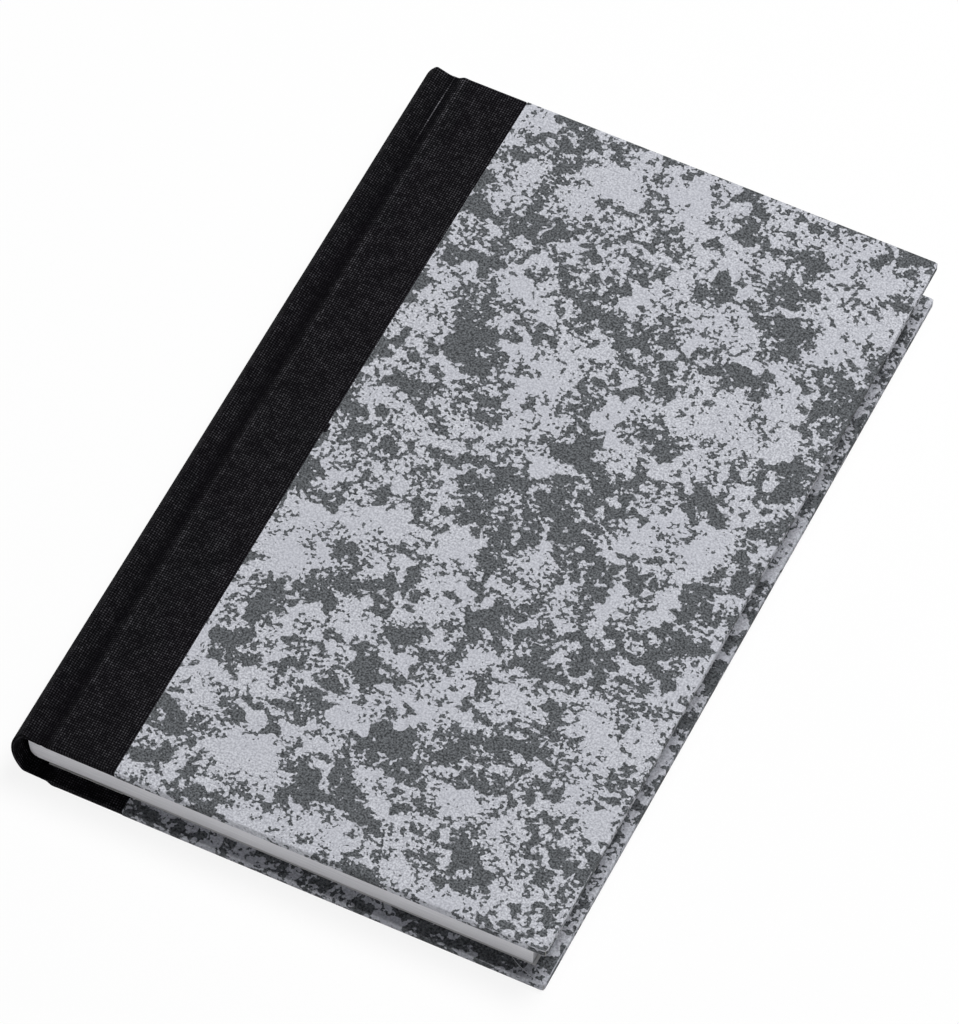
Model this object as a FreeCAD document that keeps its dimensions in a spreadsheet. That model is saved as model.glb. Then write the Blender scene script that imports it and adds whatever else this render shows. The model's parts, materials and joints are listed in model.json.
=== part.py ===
import FreeCAD, Part
import math
import os
import Sketcher

# A hardcover composition notebook, quarter bound in cloth and paper, lying on its back cover.
# Millimetres. The section is drawn with x from the outside of the spine and z from the table,
# and every piece is then moved so that the origin is at the middle of the underside.
# A depth is measured from the outer face of a cover towards the leaves.

DOCUMENT = FreeCAD.newDocument("Notebook")
SHEET = DOCUMENT.addObject("Spreadsheet::Sheet", "Sizes")

SIZES = [
    ("cover_width", 130.0, "outside of the spine to the fore-edge of the covers"),
    ("cover_height", 210.0, "foot to head of the covers"),
    ("pages_thickness", 10.7, "all the leaves, pressed"),
    ("board_thickness", 1.8, "grey board of each cover"),
    ("paper_thickness", 0.2, "cover paper"),
    ("cloth_thickness", 0.3, "book cloth"),
    ("endpaper_thickness", 0.15, "each leaf of an endpaper"),
    ("closing_gap", 0.05, "air between a closed cover and the block"),
    ("turn_in", 12.0, "width of the cloth and paper folded over onto the inside"),
    ("square", 4.2, "how far the covers stand out past the block at head and foot"),
    ("fore_square", 4.7, "how far the covers stand out past the block at the fore-edge"),
    ("cloth_reach", 25.65, "outside of the spine to the edge of the cover paper"),
    ("paper_lap", 3.0, "how far the cover paper lies over the cloth"),
    ("pastedown_margin", 4.0, "turn-in left bare around the pasted-down endpaper"),
    ("hinge_inset", 7.4, "outside of the spine to the crease that a cover turns on"),
    ("groove_depth", 1.1, "outer face of a cover to the floor of the pressed groove"),
    ("groove_start", 0.8, "floor of the groove between the crease and the spine's slope"),
    ("board_inset", 8.8, "outside of the spine to the hinge edge of the boards"),
    ("board_bevel", 1.2, "width of the slope pressed on the hinge edge of the boards"),
    ("spine_bulge", 3.0, "roundness of the spine at its front shoulder"),
    ("spine_rise", 0.6, "height of the spine's round above the middle of the book"),
    ("front_crown", 0.05, "height of the front shoulder's corner above the front cover"),
    ("back_heel", 1.3, "height of the back shoulder's corner above the table"),
    ("shoulder_radius", 1.5, "rounding of the spine's shoulders"),
    ("groove_radius", 0.8, "rounding of the cloth where it leaves the groove"),
    ("strip_thickness", 0.4, "card strip that stiffens the spine"),
    ("block_inset", 2.3, "outside of the spine to the back of the block"),
    ("block_round", 1.0, "roundness of the back of the block"),
    ("block_corner", 1.2, "rounding of the block's back corners"),
    ("lining_thickness", 0.3, "gauze and paper glued to the back of the block"),
    ("lining_margin", 5.0, "block left bare past the ends of the lining"),
    ("lining_edge", 1.5, "block left bare beside the lining"),
    ("wrap_radius", 0.3, "rounding of the paper over the edges of the boards"),
]


class Size:
    """A length, and the formula that gives it from the table of sizes."""

    def __init__(self, value, formula):
        self.value = value
        self.formula = formula

    def __add__(self, other):
        return Size(self.value + other.value, f"({self.formula} + {other.formula})")

    def __sub__(self, other):
        return Size(self.value - other.value, f"({self.formula} - {other.formula})")

    def __mul__(self, other):
        return Size(self.value * other.value, f"({self.formula} * {other.formula})")

    def __truediv__(self, other):
        return Size(self.value / other.value, f"({self.formula} / {other.formula})")

    def root(self):
        return Size(math.sqrt(self.value), f"sqrt({self.formula})")


def fill_sheet():
    """Writes the table of sizes and returns each size by its name."""
    named = {}
    for row, (alias, value, note) in enumerate(SIZES, start=1):
        SHEET.set(f"A{row}", alias)
        SHEET.set(f"B{row}", str(value))
        SHEET.set(f"C{row}", note)
        SHEET.setAlias(f"B{row}", alias)
        named[alias] = Size(value, f"Sizes.{alias}")
    DOCUMENT.recompute()
    return named


S = fill_sheet()
ZERO = Size(0.0, "0")
TWO = Size(2.0, "2")

# Depths below the outer face of a cover, and the stack of the whole book.
BOARD_TOP = S["paper_thickness"]
BOARD_UNDER = BOARD_TOP + S["board_thickness"]
COVER_UNDER = BOARD_UNDER + S["paper_thickness"]
BLOCK_FACE = COVER_UNDER + S["endpaper_thickness"] + S["closing_gap"]
THICKNESS = TWO * BLOCK_FACE + TWO * S["endpaper_thickness"] + S["pages_thickness"]
MIDDLE = THICKNESS / TWO

# The cloth lies in a shallow step of the board, so that the paper runs flat over its edge.
CLOTH_UNDER = BOARD_TOP + S["cloth_thickness"]
CLOTH_TURNED = BOARD_UNDER - S["cloth_thickness"]
CLOTH_END = S["cloth_reach"] + S["paper_lap"]
FLOOR_UNDER = S["groove_depth"] + S["cloth_thickness"]
FLOOR_TURNED = FLOOR_UNDER + S["cloth_thickness"]

# Lengths along the spine.
CLOTH_LENGTH = S["cover_height"] - TWO * S["paper_thickness"]
CLOTH_CORE_LENGTH = CLOTH_LENGTH - TWO * S["cloth_thickness"]
WINDOW_LENGTH = S["cover_height"] - TWO * S["turn_in"]
PASTEDOWN_LENGTH = S["cover_height"] - TWO * S["pastedown_margin"]
BLOCK_LENGTH = S["cover_height"] - TWO * S["square"]

BLOCK_FORE = S["cover_width"] - S["fore_square"]
BLOCK_CORNER_X = S["block_inset"] + S["block_round"]

# The spine's section: one arc, whose corners at the front and back shoulders are rounded later.
SPINE_MIDDLE = MIDDLE + S["spine_rise"]
FRONT_CORNER = THICKNESS + S["front_crown"]
FRONT_HALF = FRONT_CORNER - SPINE_MIDDLE
SPINE_RADIUS = (FRONT_HALF * FRONT_HALF + S["spine_bulge"] * S["spine_bulge"]) / (TWO * S["spine_bulge"])
SLOPE_FOOT = S["hinge_inset"] - S["groove_start"]


def level(side, depth):
    """The height of a depth, counted from the outer face of the front or the back cover."""
    return THICKNESS - depth if side == "front" else depth


def spine_point(side, inset):
    """The corner of the spine's arc at one shoulder, on the line that lies this far inside it."""
    if side == "front":
        height = FRONT_CORNER - inset
    else:
        height = S["back_heel"] + inset
    rise = height - SPINE_MIDDLE
    radius = SPINE_RADIUS - inset
    return SPINE_RADIUS - (radius * radius - rise * rise).root(), height


def section_sketch(body, name, corners, arcs=None):
    """A closed outline in the section's plane; arcs gives the radius and middle of a curved side."""
    arcs = arcs or {}
    sketch = body.newObject("Sketcher::SketchObject", name)
    plane = [f for f in body.Origin.OriginFeatures if f.Role == "XZ_Plane"][0]
    sketch.AttachmentSupport = [(plane, "")]
    sketch.MapMode = "FlatFace"
    DOCUMENT.recompute()
    points = [FreeCAD.Vector(x.value, z.value, 0) for x, z in corners]
    ends = []
    for index, start in enumerate(points):
        stop = points[(index + 1) % len(points)]
        if index in arcs:
            middle = arcs[index][1]
            via = FreeCAD.Vector(middle[0].value, middle[1].value, 0)
            sketch.addGeometry(Part.Arc(start, via, stop), False)
            first = sketch.getPoint(index, 1).distanceToPoint(start) < 1e-6
            ends.append((1, 2) if first else (2, 1))
        else:
            sketch.addGeometry(Part.LineSegment(start, stop), False)
            ends.append((1, 2))
    for index in range(len(points)):
        after = (index + 1) % len(points)
        sketch.addConstraint(Sketcher.Constraint("Coincident", index, ends[index][1], after, ends[after][0]))
    for index, (x, z) in enumerate(corners):
        pin(sketch, "DistanceX", index, ends[index][0], x)
        pin(sketch, "DistanceY", index, ends[index][0], z)
    for index, (radius, _) in arcs.items():
        place = sketch.addConstraint(Sketcher.Constraint("Radius", index, radius.value))
        sketch.setExpression(f"Constraints[{place}]", radius.formula)
    return sketch


def pin(sketch, kind, line, end, size):
    """Holds one coordinate of a corner at a size."""
    if size is ZERO:
        if kind == "DistanceX":
            sketch.addConstraint(Sketcher.Constraint("PointOnObject", line, end, -2))
        else:
            sketch.addConstraint(Sketcher.Constraint("PointOnObject", line, end, -1))
        return
    place = sketch.addConstraint(Sketcher.Constraint(kind, line, end, size.value))
    sketch.setExpression(f"Constraints[{place}]", size.formula)


def new_piece(label):
    """An empty piece whose section is drawn from the outside of the spine."""
    body = DOCUMENT.addObject("PartDesign::Body", label)
    body.Label = label
    body.setExpression("Placement.Base.x", "-Sizes.cover_width / 2")
    return body


def slab(body, name, corners, length, arcs=None, hollow=False):
    """Adds, or takes away, a section run to this length along the spine, half to each side."""
    sketch = section_sketch(body, name + "_section", corners, arcs)
    kind = "PartDesign::Pocket" if hollow else "PartDesign::Pad"
    before = body.Shape.Volume if hollow else 0.0
    feature = body.newObject(kind, name)
    feature.Profile = sketch
    feature.SideType = "Symmetric"
    feature.setExpression("Length", length.formula)
    DOCUMENT.recompute()
    if hollow and not body.Shape.Volume < before:
        raise RuntimeError(f"{name} takes nothing away")
    return feature


def oblong(x_low, x_high, z_low, z_high):
    """The corners of an upright rectangle in the section."""
    return [(x_low, z_low), (x_high, z_low), (x_high, z_high), (x_low, z_high)]


def edges_at(shape, x, z):
    """The names of the edges that run along the spine through this place of the section."""
    found = []
    for number, edge in enumerate(shape.Edges, start=1):
        ends = [vertex.Point for vertex in edge.Vertexes]
        if len(ends) == 2 and all(abs(p.x - x) < 1e-4 and abs(p.z - z) < 1e-4 for p in ends):
            found.append(f"Edge{number}")
    return found


def rounding(body, name, places, radius):
    """Rounds the edges along the spine that pass through these places of the section."""
    base = body.Tip
    shape = base.Shape
    names = []
    for x, z in places:
        names += edges_at(shape, x.value, z.value)
    feature = body.newObject("PartDesign::Fillet", name)
    feature.Base = (base, names)
    feature.setExpression("Radius", radius.formula)
    DOCUMENT.recompute()
    return feature


def make_text_block():
    """The leaves, sewn and glued into one block with a gently rounded back."""
    body = new_piece("text_block")
    low = BLOCK_FACE + S["endpaper_thickness"]
    high = low + S["pages_thickness"]
    half = S["pages_thickness"] / TWO
    radius = (half * half + S["block_round"] * S["block_round"]) / (TWO * S["block_round"])
    corners = [(BLOCK_CORNER_X, low), (BLOCK_FORE, low), (BLOCK_FORE, high), (BLOCK_CORNER_X, high)]
    slab(body, "leaves", corners, BLOCK_LENGTH, {3: (radius, (S["block_inset"], MIDDLE))})
    rounding(body, "back_corners", [corners[0], corners[3]], S["block_corner"])
    return body


def make_flyleaf(side):
    """The free leaf of an endpaper, tipped on to the block."""
    body = new_piece(side + "_flyleaf")
    outer = level(side, BLOCK_FACE)
    inner = level(side, BLOCK_FACE + S["endpaper_thickness"])
    start = BLOCK_CORNER_X + S["block_corner"]
    slab(body, side + "_leaf", oblong(start, BLOCK_FORE, outer, inner), BLOCK_LENGTH)
    return body


def make_lining():
    """The lining glued over the round of the block's back."""
    body = new_piece("spine_lining")
    half = S["pages_thickness"] / TWO
    radius = (half * half + S["block_round"] * S["block_round"]) / (TWO * S["block_round"])
    reach = half - S["lining_edge"]
    centre = S["block_inset"] + radius
    inner_x = centre - (radius * radius - reach * reach).root()
    outer = radius + S["lining_thickness"]
    outer_x = centre - (outer * outer - reach * reach).root()
    low = MIDDLE - reach
    high = MIDDLE + reach
    face = S["block_inset"] - S["lining_thickness"]
    corners = [(inner_x, low), (inner_x, high), (outer_x, high), (outer_x, low)]
    arcs = {0: (radius, (S["block_inset"], MIDDLE)), 2: (outer, (face, MIDDLE))}
    slab(body, "lining", corners, BLOCK_LENGTH - TWO * S["lining_margin"], arcs)
    return body


def strip_section():
    """Corners and arcs of the card strip in the spine."""
    outer = S["cloth_thickness"]
    inner = outer + S["strip_thickness"]
    corners = [spine_point("front", outer), spine_point("back", outer),
               spine_point("back", inner), spine_point("front", inner)]
    arcs = {0: (SPINE_RADIUS - outer, (outer, SPINE_MIDDLE)), 2: (SPINE_RADIUS - inner, (inner, SPINE_MIDDLE))}
    return corners, arcs


def make_spine_strip():
    """The card strip between the cloth and its turn-ins."""
    body = new_piece("spine_strip")
    corners, arcs = strip_section()
    slab(body, "strip", corners, CLOTH_CORE_LENGTH, arcs)
    return body


def spine_path(inset, floor):
    """The cloth's line from the front crease over the spine to the back crease."""
    crease = S["hinge_inset"]
    return [(crease, THICKNESS - floor), (SLOPE_FOOT, THICKNESS - floor), spine_point("front", inset),
            spine_point("back", inset), (SLOPE_FOOT, floor), (crease, floor)]


def make_spine_cloth():
    """The cloth over the spine, turned in over the strip at head and foot."""
    body = new_piece("spine_cloth")
    inset = TWO * S["cloth_thickness"] + S["strip_thickness"]
    outside = spine_path(ZERO, S["groove_depth"])
    inside = spine_path(inset, FLOOR_TURNED)
    arcs = {2: (SPINE_RADIUS, (ZERO, SPINE_MIDDLE)),
            8: (SPINE_RADIUS - inset, (inset, SPINE_MIDDLE))}
    slab(body, "folded_cloth", outside + inside[::-1], CLOTH_LENGTH, arcs)
    corners, strip_arcs = strip_section()
    slab(body, "room_for_strip", corners, CLOTH_CORE_LENGTH, strip_arcs, hollow=True)
    under = spine_path(S["cloth_thickness"], FLOOR_UNDER)
    radius = SPINE_RADIUS - S["cloth_thickness"]
    slab(body, "between_turn_ins", under, WINDOW_LENGTH,
         {2: (radius, (S["cloth_thickness"], SPINE_MIDDLE))}, hollow=True)
    rounding(body, "shoulders", [outside[2], outside[3]], S["shoulder_radius"])
    rounding(body, "groove_feet", [outside[1], outside[4]], S["groove_radius"])
    return body


def hinge_slope():
    """The board's pressed hinge edge, and how far the cloth's outer corners sit before it."""
    rise = FLOOR_UNDER - CLOTH_UNDER
    slant = (rise * rise + S["board_bevel"] * S["board_bevel"]).root()
    shift = S["cloth_thickness"] * (slant - S["board_bevel"]) / rise
    return S["board_inset"] + S["board_bevel"], shift


def make_board(side):
    """The board, stepped where the cloth lies on it and sloped at its hinge edge."""
    body = new_piece(side + "_board")
    start = S["board_inset"]
    bevel_end, _ = hinge_slope()
    end = S["cover_width"] - S["paper_thickness"]

    def hinge_part(under):
        """The part of the section under the cloth."""
        return [(start, level(side, FLOOR_UNDER)), (bevel_end, level(side, CLOTH_UNDER)),
                (CLOTH_END, level(side, CLOTH_UNDER)), (CLOTH_END, level(side, under)),
                (start, level(side, under))]

    flat = oblong(CLOTH_END, end, level(side, BOARD_TOP), level(side, BOARD_UNDER))
    slab(body, side + "_flat", flat, CLOTH_LENGTH)
    slab(body, side + "_hinge_middle", hinge_part(BOARD_UNDER), WINDOW_LENGTH)
    slab(body, side + "_hinge_ends", hinge_part(CLOTH_TURNED), CLOTH_CORE_LENGTH)
    return body


def make_cover_cloth(side):
    """The cloth of one cover, from the crease over the hinge edge, turned in at head and foot."""
    body = new_piece(side + "_cloth")
    crease = S["hinge_inset"]
    start = S["board_inset"]
    bevel_end, shift = hinge_slope()
    foot = (start - shift, level(side, S["groove_depth"]))
    crest = (bevel_end - shift, level(side, BOARD_TOP))
    folded = [(crease, level(side, S["groove_depth"])), foot, crest, (CLOTH_END, level(side, BOARD_TOP)),
              (CLOTH_END, level(side, BOARD_UNDER)), (start, level(side, BOARD_UNDER)),
              (crease, level(side, FLOOR_TURNED))]
    slab(body, side + "_folded_cloth", folded, CLOTH_LENGTH)
    core = [(start, level(side, FLOOR_UNDER)), (bevel_end, level(side, CLOTH_UNDER)),
            (CLOTH_END, level(side, CLOTH_UNDER)), (CLOTH_END, level(side, CLOTH_TURNED)),
            (start, level(side, CLOTH_TURNED))]
    slab(body, side + "_room_for_board", core, CLOTH_CORE_LENGTH, hollow=True)
    window = [(crease, level(side, FLOOR_UNDER)), (start, level(side, FLOOR_UNDER)),
              (bevel_end, level(side, CLOTH_UNDER)), (CLOTH_END, level(side, CLOTH_UNDER)),
              (CLOTH_END, level(side, BOARD_UNDER)), (crease, level(side, BOARD_UNDER))]
    slab(body, side + "_between_turn_ins", window, WINDOW_LENGTH, hollow=True)
    rounding(body, side + "_hinge_rounding", [foot, crest], S["groove_radius"])
    return body


def paper_edges(shape, side):
    """The names of the outer edges that the cover paper is folded round."""
    faces = [level(side, ZERO).value, level(side, COVER_UNDER).value]
    reach = S["cover_height"].value / 2
    fore = S["cover_width"].value
    names = []
    for number, edge in enumerate(shape.Edges, start=1):
        ends = [vertex.Point for vertex in edge.Vertexes]
        on_face = any(all(abs(p.z - face) < 1e-4 for p in ends) for face in faces)
        on_end = any(all(abs(p.y - y) < 1e-4 for p in ends) for y in (-reach, reach))
        on_fore = all(abs(p.x - fore) < 1e-4 for p in ends)
        if (on_face and (on_end or on_fore)) or (on_end and on_fore):
            names.append(f"Edge{number}")
    return names


def make_cover_paper(side):
    """The mottled paper of one cover, over the board and turned in on three sides."""
    body = new_piece(side + "_cover_paper")
    start = S["cloth_reach"]
    width = S["cover_width"]
    core_end = width - S["paper_thickness"]
    outer = level(side, ZERO) if side == "front" else ZERO
    slab(body, side + "_wrap", oblong(start, width, outer, level(side, COVER_UNDER)), S["cover_height"])
    core = oblong(start, core_end, level(side, BOARD_TOP), level(side, BOARD_UNDER))
    slab(body, side + "_board_room", core, CLOTH_LENGTH, hollow=True)
    window = oblong(start, width - S["turn_in"], level(side, BOARD_UNDER), level(side, COVER_UNDER))
    slab(body, side + "_window", window, WINDOW_LENGTH, hollow=True)
    base = body.Tip
    feature = body.newObject("PartDesign::Fillet", side + "_fold_rounding")
    feature.Base = (base, paper_edges(base.Shape, side))
    feature.setExpression("Radius", S["wrap_radius"].formula)
    DOCUMENT.recompute()
    return body


def make_pastedown(side):
    """The endpaper leaf pasted on the board: it dips between the turn-ins and lies over their edges."""
    body = new_piece(side + "_pastedown")
    sheet = S["endpaper_thickness"]
    hinge = S["hinge_inset"] + S["closing_gap"]
    step = S["cloth_reach"]
    fore = S["cover_width"] - S["pastedown_margin"]
    inner = S["cover_width"] - S["turn_in"]
    raised = COVER_UNDER + sheet
    dipped = BOARD_UNDER + sheet
    lap = [(hinge, level(side, BOARD_UNDER)), (step, level(side, BOARD_UNDER)),
           (step, level(side, COVER_UNDER)), (fore, level(side, COVER_UNDER)),
           (fore, level(side, raised)), (step - sheet, level(side, raised)),
           (step - sheet, level(side, dipped)), (hinge, level(side, dipped))]
    slab(body, side + "_lap", lap, PASTEDOWN_LENGTH)
    fill = oblong(step, inner, level(side, BOARD_UNDER), level(side, COVER_UNDER))
    slab(body, side + "_middle", fill, WINDOW_LENGTH)
    dip = oblong(step - sheet, inner - sheet, level(side, dipped), level(side, raised))
    slab(body, side + "_dip", dip, WINDOW_LENGTH - TWO * sheet, hollow=True)
    return body


def check(pieces):
    """Stops if any step of the model failed or any piece isn't one sound solid."""
    for item in DOCUMENT.Objects:
        if "Invalid" in item.State or "Error" in item.State:
            raise RuntimeError(f"{item.Label} failed: {item.State}")
    for piece in pieces:
        shape = piece.Shape
        if shape.isNull() or not shape.isValid() or len(shape.Solids) != 1:
            raise RuntimeError(f"{piece.Label} isn't one sound solid")


def main():
    pieces = [make_text_block(), make_lining(), make_spine_strip(), make_spine_cloth()]
    for side in ("front", "back"):
        pieces.append(make_flyleaf(side))
        pieces.append(make_board(side))
        pieces.append(make_cover_cloth(side))
        pieces.append(make_cover_paper(side))
        pieces.append(make_pastedown(side))
    DOCUMENT.recompute()
    check(pieces)
    os.makedirs("parts", exist_ok=True)
    for piece in pieces:
        piece.Shape.exportStep(f"parts/{piece.Label}.step")
        box = piece.Shape.BoundBox
        print(f"{piece.Label}: {piece.Shape.Volume:.1f} mm3, x {box.XMin:.2f} to {box.XMax:.2f}, "
              f"y {box.YMin:.2f} to {box.YMax:.2f}, z {box.ZMin:.2f} to {box.ZMax:.2f}")


main()
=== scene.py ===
import json
import math

import bpy
import numpy as np
from mathutils import Matrix, Vector

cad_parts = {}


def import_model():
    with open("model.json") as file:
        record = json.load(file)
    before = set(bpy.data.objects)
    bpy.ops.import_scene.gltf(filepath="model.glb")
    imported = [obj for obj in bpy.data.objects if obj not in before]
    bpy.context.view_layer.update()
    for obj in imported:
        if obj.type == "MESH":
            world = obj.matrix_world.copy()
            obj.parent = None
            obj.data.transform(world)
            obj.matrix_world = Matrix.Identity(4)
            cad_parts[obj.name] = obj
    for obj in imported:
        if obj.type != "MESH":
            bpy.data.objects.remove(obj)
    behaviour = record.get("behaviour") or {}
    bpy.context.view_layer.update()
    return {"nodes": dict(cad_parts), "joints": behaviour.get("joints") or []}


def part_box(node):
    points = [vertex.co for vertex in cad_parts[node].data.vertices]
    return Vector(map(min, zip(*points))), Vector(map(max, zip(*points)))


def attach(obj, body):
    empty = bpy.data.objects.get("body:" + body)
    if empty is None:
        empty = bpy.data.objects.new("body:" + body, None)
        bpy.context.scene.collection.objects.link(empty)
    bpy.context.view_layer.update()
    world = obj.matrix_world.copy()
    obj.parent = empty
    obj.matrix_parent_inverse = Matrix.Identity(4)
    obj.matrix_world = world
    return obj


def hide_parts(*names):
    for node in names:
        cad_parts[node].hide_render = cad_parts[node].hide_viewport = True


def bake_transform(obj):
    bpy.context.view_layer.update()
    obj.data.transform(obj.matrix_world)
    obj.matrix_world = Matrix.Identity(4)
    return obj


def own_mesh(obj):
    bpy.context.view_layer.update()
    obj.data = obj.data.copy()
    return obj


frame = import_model()

MM = 0.001
RNG = np.random.default_rng(41)

# Places read from the frame.
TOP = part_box("front_cover_paper")[1].z
TURNED_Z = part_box("front_cover_paper")[0].z
FORE_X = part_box("front_cover_paper")[1].x
PAPER_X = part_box("front_cover_paper")[0].x
PAPER_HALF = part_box("front_cover_paper")[1].y
SPINE_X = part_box("spine_cloth")[0].x
CREASE_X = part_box("front_cloth")[0].x
CLOTH_END_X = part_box("front_cloth")[1].x
CLOTH_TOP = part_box("front_cloth")[1].z
BOARD_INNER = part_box("front_board")[0].z
BOARD_HINGE_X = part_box("front_board")[0].x
BLOCK_LOW, BLOCK_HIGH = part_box("text_block")
LEAF_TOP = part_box("front_flyleaf")[1].z
LEAF_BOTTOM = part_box("back_flyleaf")[0].z
HINGES = {joint["name"]: Vector(joint["pos_m"]) for joint in frame["joints"]}
GROOVE_TOP = HINGES["front_hinge"].z
GROOVE_BOTTOM = HINGES["back_hinge"].z

# The spine's section, as the solid has it, and where its shoulders are cut.
SPINE_BULGE = 3.0 * MM
SPINE_MIDDLE = TOP / 2 + 0.6 * MM
FRONT_CORNER = TOP + 0.14 * MM
BACK_CORNER = 1.3 * MM
GROOVE_START = 0.8 * MM
FRONT_CREST = LEAF_TOP + 0.05 * MM
BACK_CREST = LEAF_BOTTOM - 0.05 * MM

# The cloth: its thickness, the card behind it, its rolled ends and the bevel it lies over.
CLOTH = 0.3 * MM
STRIP = 0.4 * MM
ROLL = 0.28 * MM
BEAD = 0.18 * MM
BEVEL = 1.2 * MM
CLOTH_STEP = 0.16 * MM
SPINE_ROUNDING = 0.42 * MM
COVER_ROUNDING = 0.34 * MM
CLOTH_ROWS = 150

# The cover paper: its sheet, its turn-in, its folds and its edge along the cloth.
SHEET = 0.2 * MM
TURN_IN = 12 * MM
FOLD = 0.42 * MM
CORNER = 0.9 * MM
SKEW = 0.6 * MM
LAP = {"front": 0.0, "back": 1.9 * MM}
SWELL = 0.03 * MM
SIDE_STEPS = 30
EDGE_STEPS = 60
CORNER_STEPS = 7


def bell(value, middle, width):
    """A smooth bump: one at the middle and near nought past the width."""
    return np.exp(-((value - middle) / width) ** 2)


def distances(path):
    """How far along the path each of its points lies."""
    steps = np.linalg.norm(np.diff(path, axis=0), axis=1)
    return np.concatenate([[0.0], np.cumsum(steps)])


def even(path, step):
    """The path with points evenly spaced along it."""
    along = distances(path)
    count = max(2, int(round(along[-1] / step)) + 1)
    places = np.linspace(0.0, along[-1], count)
    return np.column_stack([np.interp(places, along, path[:, k]) for k in range(2)])


def rounded(path, step, radius):
    """The path with its corners rounded, its ends held and its points evenly spaced."""
    fine = even(path, step)
    reach = int(3 * radius / step)
    offsets = np.arange(-reach, reach + 1) * step
    weight = np.exp(-0.5 * (offsets / radius) ** 2)
    weight /= weight.sum()
    before = 2 * fine[0] - fine[1:reach + 1][::-1]
    after = 2 * fine[-1] - fine[-reach - 1:-1][::-1]
    padded = np.vstack([before, fine, after])
    return np.column_stack([np.convolve(padded[:, k], weight, "valid") for k in range(2)])


def normals_of(path):
    """Unit normals to the left of the path."""
    along = np.gradient(path, axis=0)
    along /= np.linalg.norm(along, axis=1)[:, None]
    return np.column_stack([-along[:, 1], along[:, 0]])


def smooth_noise(size, reach, amount):
    """A gentle random line of this many values, smooth over this many of them."""
    raw = RNG.normal(size=size + 6 * reach)
    window = np.exp(-0.5 * (np.arange(-3 * reach, 3 * reach + 1) / reach) ** 2)
    line = np.convolve(raw, window / window.sum(), "valid")[:size]
    return amount * line / max(1e-9, np.abs(line).max())


def new_mesh(name, points, faces, uvs=None, material=None, wear_and_painted_light=None):
    """A smooth mesh object from points and faces, with a texture place and a share of wear and painted light
    for each point.
    """
    mesh = bpy.data.meshes.new(name)
    mesh.from_pydata([tuple(p) for p in points], [], [tuple(int(i) for i in f) for f in faces])
    mesh.validate()
    if uvs is not None:
        layer = mesh.uv_layers.new(name="cloth")
        corners = np.zeros(len(mesh.loops), dtype=np.int32)
        mesh.loops.foreach_get("vertex_index", corners)
        layer.data.foreach_set("uv", np.asarray(uvs, dtype=np.float32)[corners].ravel())
    if wear_and_painted_light is not None:
        layer = mesh.attributes.new("wear_and_painted_light", "FLOAT", "POINT")
        layer.data.foreach_set("value", np.asarray(wear_and_painted_light, dtype=np.float32))
    mesh.polygons.foreach_set("use_smooth", [True] * len(mesh.polygons))
    mesh.update()
    piece = bpy.data.objects.new(name, mesh)
    bpy.context.scene.collection.objects.link(piece)
    if material:
        mesh.materials.append(material)
    return piece


def tube_faces(rows, count, flipped=False):
    """The faces round a tube with this many rows of points, and one over each of its ends."""
    faces = []
    for row in range(rows - 1):
        for k in range(count):
            here = row * count + k
            beside = row * count + (k + 1) % count
            if flipped:
                faces.append((here, beside, beside + count, here + count))
            else:
                faces.append((here, here + count, beside + count, beside))
    first = tuple(range(count))
    last = tuple(range(rows * count - 1, (rows - 1) * count - 1, -1))
    return faces + ([first[::-1], last[::-1]] if flipped else [first, last])


def mirror(piece):
    """Turns a piece of the front cover into its twin on the back cover."""
    mesh = piece.data
    places = np.zeros(len(mesh.vertices) * 3)
    mesh.vertices.foreach_get("co", places)
    places = places.reshape(-1, 3)
    places[:, 2] = TOP - places[:, 2]
    mesh.vertices.foreach_set("co", places.ravel())
    mesh.flip_normals()
    mesh.update()


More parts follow.
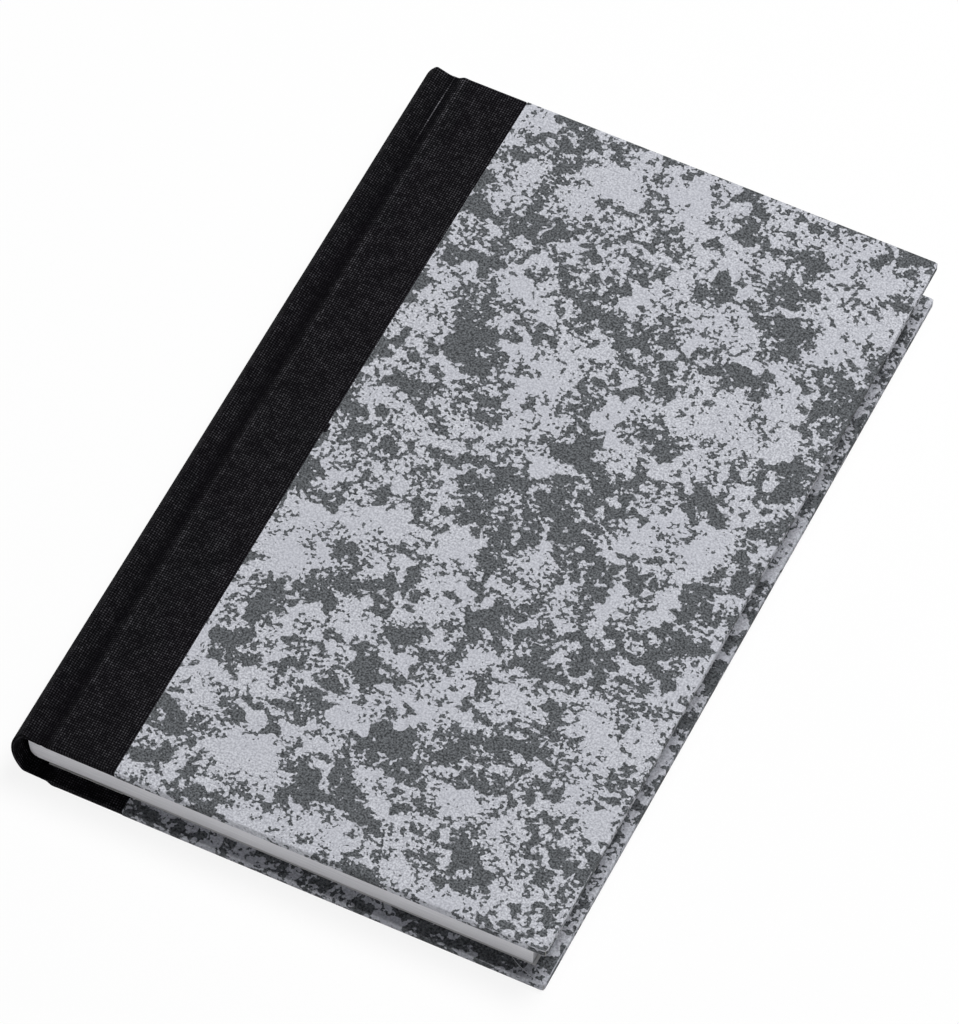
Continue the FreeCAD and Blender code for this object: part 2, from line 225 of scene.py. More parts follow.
class Shader:
    """A material's node tree, with short ways to add nodes."""

    def __init__(self, name, roughness, specular=None):
        self.material = bpy.data.materials.new(name)
        self.material.use_nodes = True
        self.tree = self.material.node_tree
        self.tree.nodes.clear()
        self.output = self.tree.nodes.new("ShaderNodeOutputMaterial")
        self.surface = self.tree.nodes.new("ShaderNodeBsdfPrincipled")
        self.tree.links.new(self.surface.outputs[0], self.output.inputs[0])
        self.surface.inputs["Roughness"].default_value = roughness
        if specular is not None:
            self.surface.inputs["Specular IOR Level"].default_value = specular

    def node(self, kind, **settings):
        node = self.tree.nodes.new(kind)
        for key, value in settings.items():
            setattr(node, key, value)
        return node

    def put(self, socket, value):
        if isinstance(value, bpy.types.NodeSocket):
            self.tree.links.new(value, socket)
        else:
            socket.default_value = value

    def math(self, operation, *values, clamp=False):
        node = self.node("ShaderNodeMath", operation=operation, use_clamp=clamp)
        for socket, value in zip(node.inputs, values):
            self.put(socket, value)
        return node.outputs[0]

    def vector(self, operation, *values):
        node = self.node("ShaderNodeVectorMath", operation=operation)
        for socket, value in zip(node.inputs, values):
            self.put(socket, value)
        return node.outputs[0]

    def place(self, kind="Object"):
        """The place on the piece, in millimetres."""
        source = self.node("ShaderNodeTexCoord").outputs[kind]
        return self.vector("MULTIPLY", source, (1 / MM, 1 / MM, 1 / MM))

    def drifted(self, place, scale, reach):
        """The place moved about by a slow noise, at most half this far each way."""
        drift = self.noise(place, scale, detail=2.0, output="Color")
        drift = self.vector("SUBTRACT", drift, (0.5, 0.5, 0.5))
        return self.vector("ADD", place, self.vector("MULTIPLY", drift, reach))

    def noise(self, place, scale, detail, roughness=0.5, output="Fac"):
        node = self.node("ShaderNodeTexNoise")
        self.put(node.inputs["Vector"], place)
        node.inputs["Scale"].default_value = scale
        node.inputs["Detail"].default_value = detail
        node.inputs["Roughness"].default_value = roughness
        return node.outputs[output]

    def ramp(self, value, low, high, out_low=0.0, out_high=1.0):
        node = self.node("ShaderNodeMapRange")
        for socket, number in zip(node.inputs[:5], (value, low, high, out_low, out_high)):
            self.put(socket, number)
        return node.outputs[0]

    def mix(self, share, first, second):
        node = self.node("ShaderNodeMix", data_type="RGBA")
        self.put(node.inputs["Factor"], share)
        self.put(node.inputs[6], first)
        self.put(node.inputs[7], second)
        return node.outputs[2]

    def split(self, vector):
        node = self.node("ShaderNodeSeparateXYZ")
        self.put(node.inputs[0], vector)
        return node.outputs

    def wear_and_painted_light(self):
        """The wear and painted light that the mesh holds for each of its points: rubbing along the paper's
        folds; on the cloth, painted highlight and painted shade, with some rubbing beside the crease.
        """
        return self.node("ShaderNodeAttribute", attribute_name="wear_and_painted_light").outputs["Fac"]

    def finish(self, colour, height, strength, distance):
        """The base colour and the bump of the surface; gives the material."""
        self.put(self.surface.inputs["Base Color"], colour)
        node = self.node("ShaderNodeBump")
        node.inputs["Strength"].default_value = strength
        node.inputs["Distance"].default_value = distance
        self.put(node.inputs["Height"], height)
        self.tree.links.new(node.outputs[0], self.surface.inputs["Normal"])
        return self.material


def grey(value, tint=(1.0, 1.0, 1.0)):
    """A linear colour from an 8-bit grey and a tint."""
    share = value / 255
    linear = share / 12.92 if share <= 0.04045 else ((share + 0.055) / 1.055) ** 2.4
    return tuple(linear * t for t in tint) + (1.0,)


def cloud_print(shader, place):
    """How light the printed cloud is: broad clouds and patches, with dark pits and light flecks."""
    moved = shader.drifted(place, 0.25, (5.0, 5.0, 5.0))
    clouds = shader.noise(moved, 0.095, detail=1.0)
    patches = shader.noise(moved, 0.33, detail=2.0)
    specks = shader.noise(place, 1.12, detail=1.0)
    lively = shader.ramp(shader.noise(place, 0.15, detail=2.0), 0.40, 0.62, 0.16, 0.74)
    level = shader.math("ADD", shader.math("MULTIPLY", clouds, 0.56), shader.math("MULTIPLY", patches, 0.60))
    specks = shader.math("MULTIPLY", shader.math("SUBTRACT", specks, 0.5), lively)
    pits = shader.math("MULTIPLY", shader.math("MINIMUM", specks, 0.0), 1.45)
    flecks = shader.math("MULTIPLY", shader.math("MAXIMUM", specks, 0.0), 0.70)
    level = shader.math("ADD", level, shader.math("ADD", pits, flecks))
    return shader.ramp(level, 0.553, 0.579)


def mottled_paper():
    """Cover paper printed with a cloud of light patches on dark grey, rubbed pale along its folds."""
    shader = Shader("mottled_cover_paper", roughness=0.72, specular=0.10)
    place = shader.place()
    light = cloud_print(shader, place)
    rubbed = shader.math("ADD", shader.noise(place, 0.35, detail=3.0, roughness=0.7), shader.wear_and_painted_light())
    light = shader.math("MAXIMUM", light, shader.ramp(rubbed, 1.15, 1.3))
    grain = shader.ramp(shader.noise(place, 2.1, detail=1.0, roughness=0.6), 0.34, 0.66)
    shade = shader.ramp(shader.noise(place, 0.05, detail=2.0), 0.3, 0.7, 0.0, 0.5)
    dark = shader.mix(grain, grey(48, (0.94, 1.01, 1.10)), grey(108, (0.95, 1.01, 1.08)))
    pale = shader.mix(grain, grey(150, (0.97, 0.99, 1.10)), grey(208, (0.98, 1.0, 1.07)))
    pale = shader.mix(shade, pale, grey(180, (0.97, 0.99, 1.10)))
    return shader.finish(shader.mix(light, dark, pale), grain, 0.4, 0.06 * MM)


def plain_weave(shader, cells):
    """The height of a plain weave's threads, one over and one under in turn in each cell."""
    across, along, _ = shader.split(cells)
    parity = shader.math("ADD", shader.math("FLOOR", across), shader.math("FLOOR", along))
    parity = shader.math("MODULO", shader.math("ABSOLUTE", parity), 2.0)
    u = shader.math("SINE", shader.math("MULTIPLY", shader.math("FRACT", across), math.pi))
    v = shader.math("SINE", shader.math("MULTIPLY", shader.math("FRACT", along), math.pi))
    warp = shader.math("MULTIPLY", u, shader.math("POWER", v, 0.45))
    weft = shader.math("MULTIPLY", v, shader.math("POWER", u, 0.45))
    over = shader.math("MULTIPLY", warp, parity)
    under = shader.math("MULTIPLY", weft, shader.math("SUBTRACT", 1.0, parity))
    return shader.math("ADD", over, under)


def book_cloth():
    """Black plain-weave cloth, with painted highlights on its threads' crossings, made stronger or weaker by
    the mesh's share of wear and painted light, and painted shade down between the threads.
    """
    shader = Shader("black_book_cloth", roughness=0.85, specular=0.02)
    pitch = 0.62
    place = shader.drifted(shader.place("UV"), 0.35, (0.35, 0.35, 0.0))
    cells = shader.vector("DIVIDE", place, (pitch, pitch, pitch))
    weave = plain_weave(shader, cells)
    dots = shader.node("ShaderNodeTexWhiteNoise", noise_dimensions="3D")
    shader.put(dots.inputs[0], shader.vector("FLOOR", cells))
    bright = shader.ramp(shader.math("POWER", dots.outputs[0], 1.6), 0.0, 1.0, 0.25, 1.0)
    patchy = shader.ramp(shader.noise(place, 0.22, detail=3.0, roughness=0.6), 0.35, 0.7, 0.4, 1.0)
    # The mesh's share: painted highlight on the spine's shoulder and the board's edge, painted shade in the
    # groove, and partly rubbing, partly painted highlight beside the crease; random patches vary it.
    wear_and_painted_light = shader.wear_and_painted_light()
    worn_and_lit = shader.math("MULTIPLY", patchy, wear_and_painted_light)
    # A steady pale line where the share is highest, beside the crease near the head: partly rubbing, partly
    # painted highlight.
    steady = shader.math("MULTIPLY", shader.ramp(wear_and_painted_light, 0.95, 1.6), 0.55)
    # Painted highlights on the tops of the threads' crossings.
    lit = shader.math("MULTIPLY", shader.math("POWER", weave, 3.0), shader.math("MULTIPLY", bright, worn_and_lit))
    lit = shader.math("ADD", lit, steady, clamp=True)
    # The base is darker down between the threads: painted shade.
    base = shader.mix(weave, grey(1), grey(13, (1.0, 0.9, 1.3)))
    return shader.finish(shader.mix(lit, base, grey(128, (1.0, 0.98, 1.08))), weave, 0.6, 0.12 * MM)


def page_edges():
    """The cut edges of the leaves, with faint lines between them."""
    shader = Shader("page_edges", roughness=0.85, specular=0.15)
    place = shader.place()
    lines = shader.vector("MULTIPLY", place, (0.04, 0.04, 9.0))
    bands = shader.vector("MULTIPLY", place, (0.03, 0.03, 1.3))
    leaf = shader.ramp(shader.noise(lines, 1.0, detail=3.0, roughness=0.7), 0.3, 0.72)
    broad = shader.ramp(shader.noise(bands, 1.0, detail=2.0), 0.3, 0.7)
    tone = shader.mix(leaf, grey(212, (0.99, 0.98, 1.04)), grey(250, (0.99, 0.99, 1.02)))
    tone = shader.mix(shader.math("MULTIPLY", broad, 0.25), tone, grey(222, (0.98, 0.98, 1.03)))
    return shader.finish(tone, leaf, 0.5, 0.05 * MM)


def plain_paper(name, value, tint, scale=2.5):
    """Uncoated paper with a faint fibre."""
    shader = Shader(name, roughness=0.8, specular=0.2)
    place = shader.place()
    fibre = shader.noise(place, scale, detail=6.0, roughness=0.7)
    cloud = shader.noise(place, 0.12, detail=3.0, roughness=0.6)
    tone = shader.mix(shader.ramp(fibre, 0.3, 0.7), grey(value - 7, tint), grey(value + 5, tint))
    tone = shader.mix(shader.ramp(cloud, 0.3, 0.7, 0.0, 0.5), tone, grey(value - 4, tint))
    return shader.finish(tone, fibre, 0.3, 0.04 * MM)


def gauze():
    """Glued gauze over kraft paper on the back of the block."""
    shader = Shader("lining_gauze", roughness=0.9)
    radians_per_mm = 5.2
    _, along, up = shader.split(shader.place())
    rows = shader.math("SINE", shader.math("MULTIPLY", along, radians_per_mm))
    columns = shader.math("SINE", shader.math("MULTIPLY", up, radians_per_mm))
    net = shader.ramp(shader.math("MAXIMUM", rows, columns), 0.55, 0.9)
    return shader.finish(shader.mix(net, grey(150, (1.1, 0.98, 0.8)), grey(216)), net, 0.6, 0.1 * MM)


CLOTH_LOOK = book_cloth()
PAPER_LOOK = mottled_paper()
EDGE_LOOK = page_edges()
CUT_LOOK = plain_paper("paper_cut_edge", 214, (0.98, 0.99, 1.04), 5.0)
ENDPAPER_LOOK = plain_paper("endpaper", 216, (1.0, 1.0, 1.01))
BOARD_LOOK = plain_paper("grey_board", 150, (1.02, 1.0, 0.95), 1.4)
GAUZE_LOOK = gauze()


def dress_solids():
    """The looks of the solids that the scene shows as they are."""
    looks = {"spine_lining": GAUZE_LOOK}
    for side in ("front", "back"):
        looks[side + "_pastedown"] = ENDPAPER_LOOK
        looks[side + "_flyleaf"] = ENDPAPER_LOOK
        looks[side + "_board"] = BOARD_LOOK
        looks[side + "_cover_paper"] = PAPER_LOOK
    for node, look in looks.items():
        materials = frame["nodes"][node].data.materials
        materials.clear()
        materials.append(look)


def shell_loop(wave, thick, half):
    """One closed section across a cloth shell, as places along the spine and depths under the cloth's
    outer face: both ends are rolled over, as turned-in cloth is."""
    straight = np.linspace(-half + ROLL, half - ROLL, len(wave))
    turns = np.linspace(0, math.pi / 2, 6)[1:]
    bend = min(ROLL, 0.45 * thick)
    first, last = wave[0], wave[-1]
    end = half - ROLL
    high = [(end + bend * math.sin(a), bend + (last - bend) * math.cos(a)) for a in turns]
    low = [(-y, d + (first - last) * math.cos(a)) for (y, d), a in zip(high, turns)]
    inner_high = [(end + bend * math.sin(a), thick - bend + bend * math.cos(a)) for a in turns[::-1]]
    inner_low = [(-y, d) for y, d in inner_high]
    back = [(y, thick) for y in straight[::-1]]
    return list(zip(straight, wave)) + high + inner_high + back + inner_low[::-1] + low[::-1]


def shell_points(path, inward, loops):
    """The loops set along the path of the outer face, each point moved inward by its depth."""
    return [[(x + across * d, y, z + up * d) for y, d in loop]
            for (x, z), (across, up), loop in zip(path, inward, loops)]


def sharp_spine_path():
    """The outer line of the cloth from the front crease round the spine to the back crease."""
    half = FRONT_CORNER - SPINE_MIDDLE
    radius = (half * half + SPINE_BULGE * SPINE_BULGE) / (2 * SPINE_BULGE)
    foot = CREASE_X - GROOVE_START
    path = [(CREASE_X, GROOVE_TOP), (foot, GROOVE_TOP)]
    for z in np.linspace(FRONT_CORNER, BACK_CORNER, 90):
        reach = math.sqrt(radius * radius - (z - SPINE_MIDDLE) ** 2)
        path.append((SPINE_X + radius - reach, z))
    path += [(foot, GROOVE_BOTTOM), (CREASE_X, GROOVE_BOTTOM)]
    return np.array(path)


def spine_painted_light(x):
    """How strong the threads' painted highlights are on the spine: stronger on the rounded shoulder, with
    painted shade in the groove.
    """
    depth = x - SPINE_X
    groove = bell(depth, 7.2 * MM, 1.0 * MM)
    shoulder = bell(depth, 2.2 * MM, 1.4 * MM)
    # Painted highlight on the shoulder, painted shade in the groove.
    return 0.34 + 0.14 * shoulder - 0.2 * groove


def spine_rows():
    """The path of the spine's section and the whole cloth's points, a row for each point of the path:
    two plies of cloth with the card strip between them, and a fuller shoulder at the front."""
    strip_start = 0.2
    shoulder, shoulder_width = 0.65 * MM, 1.1 * MM
    path = rounded(sharp_spine_path(), CLOTH_STEP, SPINE_ROUNDING)
    along = np.linspace(0.0, 1.0, len(path))
    ramp = np.clip(np.minimum(along, 1 - along) / strip_start, 0, 1)
    depth = 2 * CLOTH + STRIP * ramp * ramp * (3 - 2 * ramp)
    depth += shoulder * bell(path[:, 1], path[:, 1].max(), shoulder_width)
    sway = np.abs(smooth_noise(CLOTH_ROWS, 14, 0.05 * MM))
    half = PAPER_HALF - 0.1 * MM
    loops = [shell_loop(sway * share, thick, half) for share, thick in zip(ramp, depth)]
    return path, np.array(shell_points(path, normals_of(path), loops))


def whole_normals(rows):
    """The smooth normals of the uncut cloth, which its pieces keep."""
    count, per_row = rows.shape[:2]
    whole = new_mesh("spine_whole", rows.reshape(-1, 3), tube_faces(count, per_row))
    normals = np.array([vertex.normal[:] for vertex in whole.data.vertices])
    bpy.data.objects.remove(whole)
    return normals.reshape(count, per_row, 3)


def spine_pieces():
    """The cloth of the spine in three pieces: a wall, and a crest at each shoulder."""
    path, rows = spine_rows()
    count, per_row = rows.shape[:2]
    normals = whole_normals(rows)
    along, around = distances(path), distances(rows[0])
    front_cut = max(k for k in range(count // 2) if path[k][1] >= FRONT_CREST)
    back_cut = min(k for k in range(count // 2, count) if path[k][1] <= BACK_CREST)
    spans = {"spine_front_crest": (0, front_cut), "spine_wall": (front_cut, back_cut),
             "spine_back_crest": (back_cut, count - 1)}
    made = {}
    for name, (first, last) in spans.items():
        chosen = slice(first, last + 1)
        points = rows[chosen].reshape(-1, 3)
        uvs = [(way, turn) for way in along[chosen] for turn in around]
        # Each point's share of painted highlight and painted shade for the cloth's threads.
        worn_and_lit = [spine_painted_light(x) for x, _, _ in points]
        piece = new_mesh(name, points, tube_faces(last + 1 - first, per_row), uvs, CLOTH_LOOK, worn_and_lit)
        kept = normals[chosen].reshape(-1, 3)
        piece.data.normals_split_custom_set_from_vertices([tuple(normal) for normal in kept])
        made[name] = piece
    return made


def cover_painted_light_and_wear(x, y):
    """How strong the threads' painted highlights are on a cover: painted highlight on the edge of the board,
    stronger towards the head, painted shade in the groove, and a bright line beside the crease near the head
    that is partly rubbing and partly painted highlight."""
    depth = x - SPINE_X
    headward = min(1.0, max(0.0, y / PAPER_HALF))
    # A bright line beside the crease near the head: partly rubbing, partly painted highlight.
    crease = bell(depth, 7.62 * MM, 0.15 * MM) * bell(y, 94 * MM, 10 * MM)
    # Painted highlight on the board's edge, stronger towards the head.
    crest = bell(depth, 10.25 * MM, 0.5 * MM) * (0.6 + 0.4 * headward)
    # Painted shade in the groove.
    groove = bell(depth, 8.0 * MM, 1.2 * MM)
    return 0.42 + 0.5 * crest - 0.34 * groove + 1.6 * crease


def cover_cloth(side):
    """The cloth on one cover: up from the crease, over the hinge edge and under the cover paper."""
    rise = CLOTH_TOP - GROOVE_TOP
    shift = CLOTH * (math.hypot(rise, BEVEL) - BEVEL) / rise
    foot = BOARD_HINGE_X - shift
    crest = foot + BEVEL
    sharp = [(CREASE_X, GROOVE_TOP), (foot, GROOVE_TOP), (crest, CLOTH_TOP), (CLOTH_END_X, CLOTH_TOP)]
    path = rounded(np.array(sharp), CLOTH_STEP, COVER_ROUNDING)
    x = path[:, 0]
    toward_crease = np.clip((BOARD_HINGE_X - x) / (BOARD_HINGE_X - CREASE_X), 0, 1)
    depth = path[:, 1] - BOARD_INNER - (GROOVE_TOP - 2 * CLOTH - BOARD_INNER) * toward_crease
    sway = np.abs(smooth_noise(CLOTH_ROWS, 10, 0.03 * MM))
    ends = bell(np.abs(np.linspace(-1, 1, CLOTH_ROWS)) * PAPER_HALF, PAPER_HALF, 1.6 * MM)
    bead = BEAD * bell(x, crest + 0.5 * MM, 0.9 * MM)
    near_groove = bell(x, foot, 2.5 * MM)
    under_paper = np.clip((x - PAPER_X - LAP[side] - 0.4 * SKEW) / (0.6 * SKEW), 0, 1)
    halves = PAPER_HALF - 0.05 * MM - 0.45 * MM * under_paper
    loops = [shell_loop(sway * groove - rolled * ends, thick, half)
             for groove, rolled, thick, half in zip(near_groove, bead, depth, halves)]
    rows = shell_points(path, [(0.0, -1.0)] * len(path), loops)
    points = [point for row in rows for point in row]
    uvs = [(way, turn) for way, loop in zip(distances(path), loops) for turn in distances(np.array(loop))]
    # Each point's share of painted light and rubbing for the cloth's threads.
    worn_and_lit = [cover_painted_light_and_wear(place[0], y) for place, loop in zip(path, loops) for y, _ in loop]
    faces = tube_faces(len(rows), len(rows[0]))
    piece = new_mesh(side + "_cover_cloth", points, faces, uvs, CLOTH_LOOK, worn_and_lit)
    if side == "back":
        mirror(piece)
    return piece


def paper_rings(widest):
    """The cover paper's rings, each with its inset from the board's outline, its level and its swell.
    The first come from the middle of the face round the board's edge and in below, the others go back
    along the sheet's inner side."""
    arc = np.linspace(0.0, math.pi / 2, 6)
    outer = [(inset, TOP, SWELL) for inset in np.linspace(widest, 3 * MM, 24)]
    outer += [(FOLD - FOLD * math.sin(a), TOP - FOLD + FOLD * math.cos(a), 0.0) for a in arc]
    outer += [(0.0, (TOP + TURNED_Z) / 2, 0.0)]
    outer += [(FOLD - FOLD * math.cos(a), TURNED_Z + FOLD - FOLD * math.sin(a), 0.0) for a in arc]
    outer += [(inset, TURNED_Z, -SWELL) for inset in np.linspace(2 * MM, TURN_IN, 5)]
    near = SHEET + FOLD
    inner = [(TURN_IN, TURNED_Z + SHEET), (near, TURNED_Z + SHEET), (SHEET, TURNED_Z + near),
             (SHEET, TOP - near), (near, TOP - SHEET), (widest, TOP - SHEET)]
    return outer, [(inset, level, 0.0) for inset, level in inner]


def wrapped_line(begin, inset, level, swell):
    """One ring round the three wrapped sides of a board, from the spine side and back to it."""
    radius = max(CORNER - inset, 0.12 * MM)
    x_out = FORE_X - inset
    y_out = PAPER_HALF - inset
    x_turn = x_out - radius
    y_turn = y_out - radius
    head_begin = begin + SKEW * (y_out / PAPER_HALF) ** 2
    turns = np.linspace(0.0, math.pi / 2, CORNER_STEPS)
    foot = [(x, -y_out) for x in np.linspace(begin, x_turn, SIDE_STEPS)[:-1]]
    turn = [(x_turn + radius * math.sin(a), -y_turn - radius * math.cos(a)) for a in turns]
    edge = [(x_out, y) for y in np.linspace(-y_turn, y_turn, EDGE_STEPS)[1:-1]]
    back = [(x, -y) for x, y in turn[::-1]]
    head = [(x, y_out) for x in np.linspace(head_begin, x_turn, SIDE_STEPS)[:-1]][::-1]
    return [(x, y, level - swell * ripple(x, y)) for x, y in foot + turn + edge + back + head]


def ripple(x, y):
    """The slow waves of glued paper, from nought to one."""
    return 0.5 * (1 + math.sin(x * 61) * math.sin(y * 47 + 1))


def press_mitres(lines):
    """Presses the diagonal folds of the turned-in corners a little into the board."""
    corner = SIDE_STEPS - 1 + CORNER_STEPS // 2
    for line in lines:
        for k in (corner, len(line) - 1 - corner):
            x, y, z = line[k]
            line[k] = (x, y, z + 0.15 * MM)


def fold_wear(inset, level, line):
    """How rubbed each point of one ring is: only on the two folds, and most at the board's corners."""
    if inset >= 0.6 * FOLD:
        return [0.0] * len(line)
    folds = (TOP - 0.5 * FOLD, TURNED_Z + 0.5 * FOLD)
    near_fold = max(bell(level, fold, 0.7 * FOLD) for fold in folds)
    corners = [bell(math.hypot(x - FORE_X, abs(y) - PAPER_HALF), 0.0, 22 * MM) for x, y, _ in line]
    return [near_fold * (0.55 + 0.35 * corner) for corner in corners]


def cover_paper(side):
    """The paper round one board: over its face, folded round three edges and turned in,
    with the diagonal folds at its two corners and a pale cut edge along the cloth."""
    begin = PAPER_X + LAP[side]
    outer, inner = paper_rings(FORE_X - begin - 0.7 * MM)
    lines = [wrapped_line(begin, *ring) for ring in outer + inner]
    press_mitres([line for line, ring in zip(lines, outer) if ring[1] < TURNED_Z + 0.05 * MM])
    rows, count = len(lines), len(lines[0])
    worn_and_lit = [share for line, ring in zip(lines, outer) for share in fold_wear(ring[0], ring[1], line)]
    worn_and_lit += [0.0] * (len(inner) * count)
    faces = []
    for row in range(rows):
        a, b = row * count, (row + 1) % rows * count
        faces += [(a + k, b + k, b + k + 1, a + k + 1) for k in range(count - 1)]
    cut_edges = [tuple(row * count for row in range(rows - 1, -1, -1)),
                 tuple(row * count + count - 1 for row in range(rows))]
    points = [point for line in lines for point in line]
    piece = new_mesh(side + "_mottled_paper", points, faces + cut_edges, material=PAPER_LOOK, wear_and_painted_light=worn_and_lit)
    piece.data.materials.append(CUT_LOOK)
    for face in piece.data.polygons[len(faces):]:
        face.material_index = 1
    piece.data.set_sharp_from_angle(angle=math.radians(50))
    if side == "back":
        mirror(piece)
    return piece


def mitre_edges(side):
    """The pale cut edges of the paper along the diagonal folds of its turned-in corners."""
    wide, high, bow, steps = 0.14 * MM, 0.05 * MM, 0.5 * MM, 16
    begin, run = (2.6 * MM, 0.9 * MM), (9.4 * MM, 4.9 * MM)
    level = TURNED_Z + 0.02 * MM
    points, faces = [], []
    for end in (-1, 1):
        base = len(points)
        for share in np.linspace(0.0, 1.0, steps + 1):
            bent = bow * math.sin(math.pi * share)
            x = FORE_X - begin[0] - run[0] * share - bent
            y = end * (PAPER_HALF - begin[1] - run[1] * share + bent)
            across = wide * (0.4 + 0.6 * math.sin(math.pi * min(1.0, 0.1 + share)))
            for dx, dz in ((-across, 0), (across, 0), (across, -high), (-across, -high)):
                points.append((x + dx, y + end * dx, level + dz))
        for k in range(steps):
            a = base + 4 * k
            faces += [(a + i, a + 4 + i, a + 4 + (i + 1) % 4, a + (i + 1) % 4) for i in range(4)]
        faces += [(base + 3, base + 2, base + 1, base), tuple(base + 4 * steps + i for i in range(4))]
    piece = new_mesh(side + "_mitre_edges", points, faces, material=CUT_LOOK)
    piece.data.set_sharp_from_angle(angle=math.radians(50))
    if side == "back":
        mirror(piece)
    return piece


def leaf_start(z):
    """Where a leaf at this level begins at the spine: on the round of the back, with its shoulders eased."""
    low, high = BLOCK_LOW.z, BLOCK_HIGH.z
    half, middle = (high - low) / 2, (high + low) / 2
    bulge, shoulder = 1.0 * MM, 1.2 * MM
    radius = (half * half + bulge * bulge) / (2 * bulge)
    start = BLOCK_LOW.x + radius - math.sqrt(radius * radius - (z - middle) ** 2)
    gap = min(z - low, high - z)
    if gap < shoulder:
        start += shoulder - math.sqrt(max(0.0, shoulder ** 2 - (shoulder - gap) ** 2))
    return start


def leaf_outline(x_low, x_high, y_high):
    """The outline of one leaf."""
    steps = 60
    outline = [(x, -y_high) for x in np.linspace(x_low, x_high, steps)]
    outline += [(x_high, y) for y in np.linspace(-y_high, y_high, steps)[1:]]
    outline += [(x, y_high) for x in np.linspace(x_high, x_low, steps)[1:]]
    return outline + [(x_low, y) for y in np.linspace(y_high, -y_high, steps)[1:-1]]


def leaves():
    """The block of leaves: every leaf a thin step in the cut edges, with the round of the back."""
    count = 96
    levels = np.linspace(BLOCK_LOW.z, BLOCK_HIGH.z, count + 1)
    sway_fore = smooth_noise(count + 1, 3, 0.05 * MM) + RNG.normal(size=count + 1) * 0.012 * MM
    sway_end = smooth_noise(count + 1, 3, 0.03 * MM) + RNG.normal(size=count + 1) * 0.01 * MM
    points = []
    for z, fore, end in zip(levels, sway_fore, sway_end):
        outline = leaf_outline(leaf_start(z), BLOCK_HIGH.x + min(0.0, fore), BLOCK_HIGH.y + min(0.0, end))
        points += [(x, y, z) for x, y in outline]
    faces = tube_faces(count + 1, len(points) // (count + 1), flipped=True)
    piece = new_mesh("leaves", points, faces, material=EDGE_LOOK)
    piece.data.polygons.foreach_set("use_smooth", [False] * len(piece.data.polygons))
    return piece


def endpaper_fold(side):
    """The fold of one endpaper at the crease,
    with the points where it leaves the block and where it meets the cover."""
    leaf = LEAF_TOP if side == "front" else LEAF_BOTTOM
    gap = (1 if side == "front" else -1) * 0.05 * MM
    near, thick = CREASE_X + 0.12 * MM, 0.1 * MM
    steps, places = 24, np.linspace(-BLOCK_HIGH.y, BLOCK_HIGH.y, 40)
    points = []
    for z in np.linspace(leaf, leaf + gap, steps + 1):
        points += [(near, y, z) for y in places]
        points += [(near + thick, y, z) for y in places[::-1]]
    faces = tube_faces(steps + 1, 2 * len(places), flipped=True)
    piece = new_mesh(side + "_endpaper_fold", points, faces, material=ENDPAPER_LOOK)
    if side == "back":
        piece.data.flip_normals()
    return piece, (0, 0, leaf), (0, 0, leaf + gap)


def background_rays(tree):
    """One for the rays that see the background: from the camera, or by way of gloss or glass."""
    paths = tree.nodes.new("ShaderNodeLightPath")
    seen = paths.outputs["Is Camera Ray"]
    for name in ("Is Glossy Ray", "Is Transmission Ray"):
        wider = tree.nodes.new("ShaderNodeMath")
        wider.operation = "MAXIMUM"
        tree.links.new(seen, wider.inputs[0])
        tree.links.new(paths.outputs[name], wider.inputs[1])
        seen = wider.outputs[0]
    return seen


def floor():
    """A pale floor that looks near white and keeps the notebook's shadow."""
    half = 3.0
    glow_strength, glow_share = 1.03, 0.86
    mesh = bpy.data.meshes.new("floor")
    corners = [(-half, -half, 0), (half, -half, 0), (half, half, 0), (-half, half, 0)]
    mesh.from_pydata(corners, [], [(0, 1, 2, 3)])
    plane = bpy.data.objects.new("floor", mesh)
    bpy.context.scene.collection.objects.link(plane)
    shader = Shader("pale_floor", roughness=0.9)
    shader.surface.inputs["Base Color"].default_value = (0.68, 0.68, 0.68, 1)
    glow = shader.node("ShaderNodeEmission")
    glow.inputs["Strength"].default_value = glow_strength
    blend = shader.node("ShaderNodeMixShader")
    share = shader.math("MULTIPLY", background_rays(shader.tree), glow_share)
    shader.put(blend.inputs[0], share)
    shader.tree.links.new(shader.surface.outputs[0], blend.inputs[1])
    shader.tree.links.new(glow.outputs[0], blend.inputs[2])
    shader.tree.links.new(blend.outputs[0], shader.output.inputs[0])
    mesh.materials.append(shader.material)


def soft_light(name, place, size, power):
    """A large soft lamp that faces the notebook."""
    data = bpy.data.lights.new(name, "AREA")
    data.shape = "SQUARE"
    data.size = size
    data.energy = power
    lamp = bpy.data.objects.new(name, data)
    bpy.context.scene.collection.objects.link(lamp)
    lamp.location = place
    lamp.rotation_euler = (-Vector(place)).to_track_quat("-Z", "Y").to_euler()


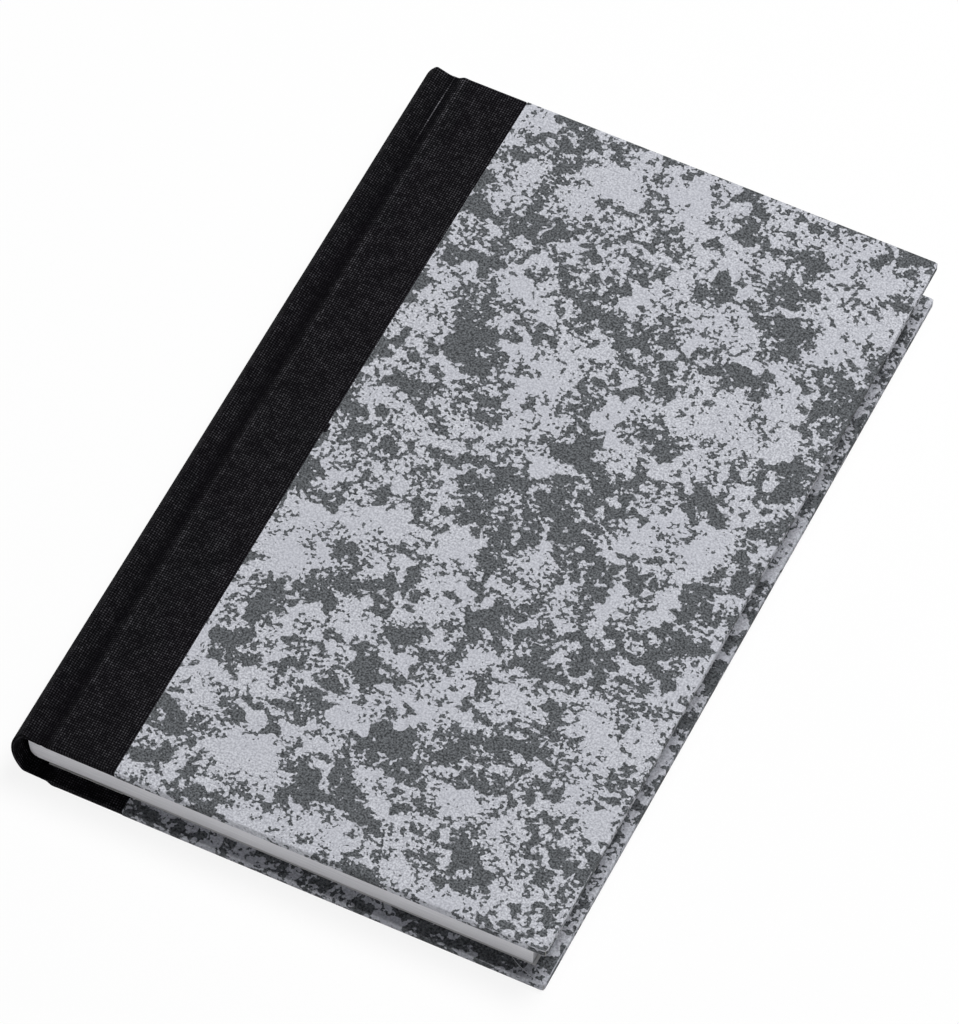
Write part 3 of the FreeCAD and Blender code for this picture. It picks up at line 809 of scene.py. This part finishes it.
def world(strength):
    """An even pale surround, white where the camera, gloss or glass sees it."""
    scene_world = bpy.data.worlds.new("studio")
    scene_world.use_nodes = True
    tree = scene_world.node_tree
    back = tree.nodes["Background"]
    back.inputs[0].default_value = (1, 1, 1, 1)
    level = tree.nodes.new("ShaderNodeMapRange")
    level.inputs[3].default_value = strength
    level.inputs[4].default_value = 1.0
    tree.links.new(background_rays(tree), level.inputs[0])
    tree.links.new(level.outputs[0], back.inputs[1])
    bpy.context.scene.world = scene_world


def camera():
    """The camera at the photograph's angle: a long lens, from the foot and the fore-edge side."""
    azimuth, elevation, roll = math.radians(23.093), math.radians(54.061), math.radians(2.994)
    distance = 2.0351
    target = Vector((-0.00288, 0.00486, 0.0))
    back = Vector((math.sin(azimuth) * math.cos(elevation), -math.cos(azimuth) * math.cos(elevation),
                   math.sin(elevation)))
    level = Vector((math.cos(azimuth), math.sin(azimuth), 0.0))
    up = back.cross(level)
    right = level * math.cos(roll) + up * math.sin(roll)
    up = up * math.cos(roll) - level * math.sin(roll)
    data = bpy.data.cameras.new("camera")
    data.lens = 317.4
    data.sensor_width = 36.0
    data.clip_end = 20.0
    view = bpy.data.objects.new("camera", data)
    bpy.context.scene.collection.objects.link(view)
    turn = Matrix((right, up, back)).transposed()
    view.matrix_world = Matrix.Translation(target + back * distance) @ turn.to_4x4()
    bpy.context.scene.camera = view


dress_solids()

spine = spine_pieces()
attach(spine["spine_wall"], "book_block")
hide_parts("spine_cloth", "spine_strip")
for name, joint, level in (("spine_front_crest", "front_hinge", FRONT_CREST),
                           ("spine_back_crest", "back_hinge", BACK_CREST)):
    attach(spine[name], "book_block")
    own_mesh(spine[name])

for side in ("front", "back"):
    piece = cover_cloth(side)
    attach(piece, side + "_cover")
    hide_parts(side + "_cloth")
    piece = cover_paper(side)
    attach(piece, side + "_cover")
    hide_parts(side + "_cover_paper")
    piece = mitre_edges(side)
    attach(piece, side + "_cover")

pages = leaves()
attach(pages, "book_block")
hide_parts("text_block")

piece, start, end = endpaper_fold("front")
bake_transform(piece)
piece, start, end = endpaper_fold("back")
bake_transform(piece)

floor()
world(0.05)
soft_light("key", (0.30, 0.50, 1.67), 0.9, 36.5)
soft_light("low", (-0.45, -1.60, 0.09), 0.40, 9.0)
camera()
bpy.context.scene.view_settings.view_transform = "Standard"
